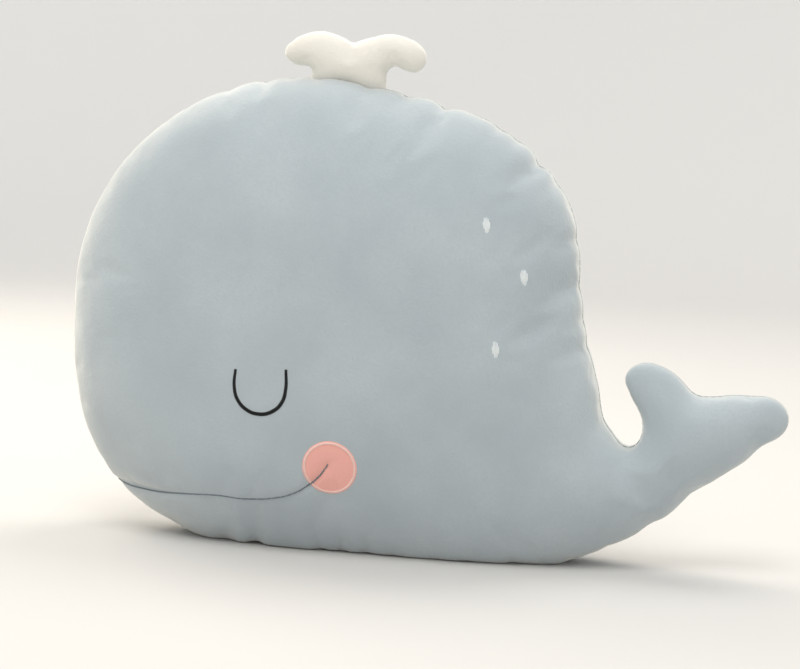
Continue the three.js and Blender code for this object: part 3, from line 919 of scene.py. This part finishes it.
def satin(path, widths, lift):
    """Satin stitch: strands side by side across a path, as wide as the path is there."""
    stitches = []
    for (along, up), (step_along, step_up), width in zip(path, np.gradient(path, axis=0), widths):
        place, outward = on_front(along, up)
        across = Vector((-step_up, 0, step_along))
        stitches.append((place + outward * lift, across, outward, width / 2, SATIN_STRAND, SATIN_HEIGHT))
    return stitches


# %% [markdown]
# ### Eye
#
# The closed eye is a half round with two short upright legs, in black satin stitch. The band is
# thickest at the bottom of the curve and thins out towards its ends.

# %% Eye
EYE_WIDTH = 3.4 * MM
EYE_END_WIDTH = 2.4 * MM
EYE_LIFT = 0.1 * MM
# How far the left leg leans in and ends lower, and the right leg leans in and ends higher, in millimetres
EYE_LEFT_LEAN, EYE_LEFT_DROP = 0.6, 0.6
EYE_RIGHT_LEAN, EYE_RIGHT_RISE = 0.2, 1.6
EYE_STEPS = 6
STRAND_STEP = 0.5 * MM

eye_low, eye_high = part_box("eye_stitch")
eye_radius = (eye_high.x - eye_low.x - EYE_WIDTH) / 2 / MM
eye_x = (eye_low.x + eye_high.x) / 2 / MM
eye_z = eye_low.z / MM + eye_radius + EYE_WIDTH / 2 / MM
eye_top = eye_high.z / MM
eye_knots = [(eye_x - eye_radius + EYE_LEFT_LEAN, eye_top - EYE_LEFT_DROP)]
eye_knots += [
    (eye_x - eye_radius * math.cos(angle), eye_z - eye_radius * math.sin(angle))
    for angle in (math.pi * k / EYE_STEPS for k in range(EYE_STEPS + 1))
]
eye_knots += [(eye_x + eye_radius - EYE_RIGHT_LEAN, eye_top + EYE_RIGHT_RISE)]
eye_path = smooth_line(eye_knots, STRAND_STEP, closed=False)
eye_share = np.linspace(-1, 1, len(eye_path))
eye_widths = EYE_END_WIDTH + (EYE_WIDTH - EYE_END_WIDTH) * (1 - np.abs(eye_share) ** 3)
eye = sew("eye_embroidery", satin(eye_path, eye_widths, EYE_LIFT), black_thread)

# %% [markdown]
# ### Cheek
#
# The cheek is a felt disc. It starts as a sphere, pressed as flat as felt, and then each of its
# points is set down on the panel, so that the disc follows the swelling of the body. A ring of coral
# satin stitch holds it just inside its edge. Its thread is coloured paler than coral, which is a
# painted highlight for the light on the satin's ridge.

# %% Cheek
FELT_RADIUS = 18.4 * MM
FELT_HALF = 0.8 * MM
BORDER_WIDTH = 1.8 * MM
BORDER_INSET = 1.5 * MM
BORDER_LIFT = 0.4 * MM
BORDER_STEPS = 12

bpy.ops.object.select_all(action="DESELECT")
bpy.ops.mesh.primitive_uv_sphere_add(segments=64, ring_count=32, radius=1)
cheek = bpy.context.object
bpy.ops.object.mode_set(mode="EDIT")
bpy.ops.mesh.select_all(action="SELECT")
bpy.ops.transform.resize(value=(FELT_RADIUS, FELT_RADIUS, FELT_HALF))
bpy.ops.object.mode_set(mode="OBJECT")
cheek_low, cheek_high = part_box("cheek_patch")
cheek_x, _, cheek_z = (cheek_low + cheek_high) / 2
for vertex in cheek.data.vertices:
    place, outward = on_front(cheek_x + vertex.co.x, cheek_z + vertex.co.y)
    vertex.co = place + outward * vertex.co.z
bpy.ops.object.shade_smooth()
print("cheek points:", len(cheek.data.vertices))
cheek.name = cheek.data.name = "cheek_felt"
cheek.data.materials.append(coral_felt)

border_radius = (FELT_RADIUS - BORDER_INSET) / MM
border_knots = [
    (cheek_x / MM + border_radius * math.cos(angle), cheek_z / MM + border_radius * math.sin(angle))
    for angle in np.arange(BORDER_STEPS) * 2 * math.pi / BORDER_STEPS
]
border_path = smooth_line(border_knots, STRAND_STEP)
border_path = np.vstack([border_path, border_path[:1]])
border_stitches = satin(border_path, [BORDER_WIDTH] * len(border_path), BORDER_LIFT)
# The pale colour of this coral thread is a painted highlight.
border = sew("cheek_border_embroidery", border_stitches, coral_thread_with_painted_highlight)

# %% [markdown]
# ### Smile
#
# The smile is a stem stitch: stitches that overlap like the strands of a rope. It lies in the
# groove that was pressed into the panel, and it climbs over the cheek's border to the middle of the
# felt. At the nose the cloth turns away from the front, so there the line is found from the side
# and followed to the seam. The stitches are then spaced evenly along the cloth itself.

# %% Smile
SMILE_WIDTH = 1 * MM
SMILE_HEIGHT = 0.55 * MM
SMILE_STITCH = 3.2 * MM
SMILE_OVERLAP = 1 * MM
SMILE_TWIST = 0.3
SMILE_LIFT = 0.15 * MM
FINE_STEP = 0.4 * MM
LOOK_ROUND = 3
SEAM_MARGIN = 2 * MM
CLIMB = 5 * MM

spots = [on_front(along, up) for along, up in smooth_line(SMILE, FINE_STEP, closed=False)]
spots = [spot for spot in spots if spot[0] is not None]
turn = spots[0][0]
round_nose = [
    front_surface.ray_cast(Vector((RAY_START, depth, turn.z)), Vector((1, 0, 0)))[:2]
    for depth in np.arange(-SEAM_MARGIN, turn.y, -FINE_STEP)
]
spots = [spot for spot in round_nose if spot[0] is not None and spot[0].x < turn.x + SMILE_STITCH] + spots
smile_places = np.array([place for place, _ in spots])
travelled = np.concatenate([[0], np.cumsum(np.linalg.norm(np.diff(smile_places, axis=0), axis=1))])
smile_stitches = []
for k in np.searchsorted(travelled, np.arange(0, travelled[-1], SMILE_STITCH - SMILE_OVERLAP)):
    place, outward = spots[k]
    before, after = max(k - LOOK_ROUND, 0), min(k + LOOK_ROUND, len(spots) - 1)
    direction = Vector(smile_places[after] - smile_places[before]).normalized()
    from_edge = math.hypot(place.x - cheek_x, place.z - cheek_z) - FELT_RADIUS
    on_cheek = min(1, max(0, -from_edge / CLIMB + 0.5))
    middle = place + outward * (SMILE_LIFT + on_cheek * FELT_HALF)
    twisted = direction + SMILE_TWIST * outward.cross(direction)
    smile_stitches.append((middle, twisted, outward, SMILE_STITCH / 2, SMILE_WIDTH / 2, SMILE_HEIGHT))
smile = sew("smile_embroidery", smile_stitches, slate_thread)

# %% [markdown]
# ### Flank marks
#
# Three pointed ovals on the flank are worked in long white stitches from tip to tip. The stitches
# are not all the same length, which leaves the tips a little ragged.

# %% Flank marks
MARK_STRANDS = 6
MARK_STRAND_WIDTH = 0.8 * MM
MARK_WIDTH = 4.6 * MM
MARK_LENGTH = 13.4 * MM
MARK_HEIGHT = 0.55 * MM
MARK_LIFT = 0.1 * MM
MARK_SHORTEST = 0.5
MARK_RAGGED = 0.06
MARK_LEAN = -0.09
MARK_SPREAD = 0.06
MARK_SEED = 8
MARKS = ("flank_mark_upper", "flank_mark_middle", "flank_mark_lower")

draw = random.Random(MARK_SEED)
marks = {}
for name in MARKS:
    low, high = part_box(name)
    middle = (low + high) / 2
    strands = []
    for k in range(MARK_STRANDS):
        side = 2 * k / (MARK_STRANDS - 1) - 1
        oval = MARK_SHORTEST + (1 - MARK_SHORTEST) * math.sqrt(1 - side * side)
        half = MARK_LENGTH / 2 * (oval + draw.uniform(-MARK_RAGGED, MARK_RAGGED))
        place, outward = on_front(middle.x + side * (MARK_WIDTH - MARK_STRAND_WIDTH) / 2, middle.z)
        direction = Vector((MARK_LEAN + MARK_SPREAD * side, 0, 1))
        lifted = place + outward * MARK_LIFT
        strands.append((lifted, direction, outward, half, MARK_STRAND_WIDTH / 2, MARK_HEIGHT))
    marks[name] = sew(f"{name}_embroidery", strands, white_thread)
bpy.data.objects.remove(one_stitch)

# %% [markdown]
# ## The spout's tab
#
# Where the spout meets the whale, a strip of its cloth goes down into the top seam. Only its edge
# can be seen, deep in the groove. It is a narrow grid, bent to follow the crown and given the
# thickness of two layers.

# %% Tab
TAB_THICKNESS = 0.8 * MM
TAB_SINK = 0.5 * MM
TAB_HALF_HEIGHT = 1.5 * MM
CROWN_ABOVE, CROWN_END = 300 * MM, 20 * MM

tab_low, tab_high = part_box("spout_tab")
bpy.ops.object.select_all(action="DESELECT")
bpy.ops.mesh.primitive_grid_add(x_subdivisions=24, y_subdivisions=3, size=2)
tab = bpy.context.object
crown = whale_seam[(whale_seam[:, 2] > CROWN_ABOVE) & (whale_seam[:, 0] < CROWN_END)]
crown = crown[np.argsort(crown[:, 0])]
tab_middle, tab_half = (tab_low.x + tab_high.x) / 2, (tab_high.x - tab_low.x) / 2
for vertex in tab.data.vertices:
    along = tab_middle + vertex.co.x * tab_half
    seam_height = np.interp(along, crown[:, 0], crown[:, 2])
    vertex.co = (along, 0, seam_height - TAB_SINK + vertex.co.y * TAB_HALF_HEIGHT)
thick = tab.modifiers.new("cloth", "SOLIDIFY")
thick.thickness = TAB_THICKNESS
thick.offset = 0
bpy.ops.object.modifier_apply(modifier=thick.name)
tab.name = tab.data.name = "spout_tab_cloth"
tab.data.materials.append(spout_velour)
print("tab points:", len(tab.data.vertices))

# %% [markdown]
# ## Floor and light
#
# A pale floor runs out under the pillow and curves up all round it, so that no side shows a
# horizon. It is half a profile, spun about the upright axis. Far from the lamps the paper gets less
# light, so with its distance it is graded from pale grey to nearly white and glows a little, for
# the camera and for mirror images alone, so that the pillow gets no light from it. The lamps are
# soft: a large one high in front, two weaker ones behind for the bright rim on the crown and the
# nose, and an even white sky that fills the shadows.

# %% Stage
STAGE_RADIUS = 3.4
STAGE_CURVE = 1.2
STAGE_HEIGHT = 2.2
STAGE_STEPS = 96
CURVE_STEPS = 12
FLOOR_RINGS = (0, 0.7, 1.4)
FLOOR_GAP = 0.3 * MM
GRADE_START = 0.9

profile = [(ring, 0) for ring in FLOOR_RINGS]
for k in range(CURVE_STEPS + 1):
    angle = math.pi / 2 * k / CURVE_STEPS
    out = STAGE_RADIUS - STAGE_CURVE + STAGE_CURVE * math.sin(angle)
    profile.append((out, STAGE_CURVE * (1 - math.cos(angle))))
profile.append((STAGE_RADIUS, STAGE_HEIGHT))
half_profile = bpy.data.meshes.new("floor")
half_profile.from_pydata(
    [(out, 0, up - FLOOR_GAP) for out, up in profile], [(k, k + 1) for k in range(len(profile) - 1)], [],
)
floor = bpy.data.objects.new("floor", half_profile)
bpy.context.collection.objects.link(floor)
bpy.ops.object.select_all(action="DESELECT")
floor.select_set(True)
bpy.context.view_layer.objects.active = floor
spin = floor.modifiers.new("spin", "SCREW")
spin.steps = spin.render_steps = STAGE_STEPS
spin.use_merge_vertices = True
bpy.ops.object.modifier_apply(modifier=spin.name)
bpy.ops.object.shade_smooth()
paper, paper_tree, paper_shader, paper_place = new_finish(
    "matt_paper", Roughness=0.9, Specular_IOR_Level=0.1, Emission_Color=linear("4a4a49"),
)
distance = add_node(paper_tree, "ShaderNodeVectorMath", {0: paper_place}, operation="LENGTH")
rise = add_node(
    paper_tree, "ShaderNodeMapRange",
    {"Value": distance.outputs["Value"], "From Min": GRADE_START, "From Max": STAGE_RADIUS},
)
paper_colour = add_node(
    paper_tree, "ShaderNodeMix",
    {0: rise.outputs["Result"], 6: linear("d0cfcd"), 7: linear("ebeae8")}, data_type="RGBA",
)
rays = add_node(paper_tree, "ShaderNodeLightPath")
mirrored = add_node(
    paper_tree, "ShaderNodeMath",
    {0: rays.outputs["Is Glossy Ray"], 1: rays.outputs["Is Transmission Ray"]}, operation="ADD",
)
seen = add_node(
    paper_tree, "ShaderNodeMath",
    {0: rays.outputs["Is Camera Ray"], 1: mirrored.outputs["Value"]}, operation="ADD", use_clamp=True,
)
glow = add_node(
    paper_tree, "ShaderNodeMath",
    {0: seen.outputs["Value"], 1: rise.outputs["Result"]}, operation="MULTIPLY",
)
paper_tree.links.new(paper_colour.outputs[2], paper_shader.inputs["Base Color"])
paper_tree.links.new(glow.outputs["Value"], paper_shader.inputs["Emission Strength"])
floor.data.materials.append(paper)


def soft_lamp(name, place, aim, size, power, colour):
    bpy.ops.object.light_add(type="AREA", location=place)
    lamp = bpy.context.object
    lamp.name = name
    lamp.rotation_euler = (Vector(aim) - Vector(place)).to_track_quat("-Z", "Y").to_euler()
    lamp.data.size = size
    lamp.data.energy = power
    lamp.data.color = linear(colour)[:3]


soft_lamp("window_light", (-0.2, -1.1, 2.4), aim=(0, 0, 0.15), size=1.4, power=30, colour="fffcf6")
soft_lamp("left_rim_light", (-1.2, 0.7, 1.2), aim=(-0.05, 0, 0.2), size=1.0, power=16, colour="fff0dc")
soft_lamp("right_rim_light", (0.4, 0.8, 1.9), aim=(0.05, 0, 0.2), size=1.0, power=16, colour="fff8ee")
sky = bpy.data.worlds.new("sky")
bpy.context.scene.world = sky
sky.use_nodes = True
background = sky.node_tree.nodes["Background"]
background.inputs["Color"].default_value = linear("f6f8fa")
background.inputs["Strength"].default_value = 0.77
bpy.context.scene.view_settings.view_transform = "Standard"
print("floor faces:", len(floor.data.polygons))

# %% [markdown]
# ## How the pieces move
#
# The whale's panels, filling and seam stitches, and the spout's, stay fixed where they were built.
# The face, the closing stitches, the flank marks and the spout's tab ride on the body. The plain
# solids that these pieces replace are hidden.


for piece in (front_panel, rear_panel, whale_filling, perimeter_thread):
    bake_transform(piece)
for piece in (spout_front, spout_rear, spout_filling, spout_thread):
    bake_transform(piece)
for piece in (closing_thread, eye, cheek, border, smile, tab, *marks.values()):
    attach(piece, "body")

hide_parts("body_front_cover", "tail_root_front_cover", "tail_front_cover")
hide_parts("body_rear_cover", "tail_root_rear_cover", "tail_rear_cover")
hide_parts("body_filling", "tail_root_filling", "tail_filling")
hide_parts("spout_front_cover")
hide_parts("spout_rear_cover")
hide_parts("spout_filling")
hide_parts("perimeter_seam_thread")
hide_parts("closing_seam_thread")
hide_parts("spout_seam_thread")
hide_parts("spout_tab")
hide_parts("eye_stitch")
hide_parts("cheek_patch")
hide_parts("cheek_border_stitch")
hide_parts("smile_stitch")
for name, mark in marks.items():
    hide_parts(name)
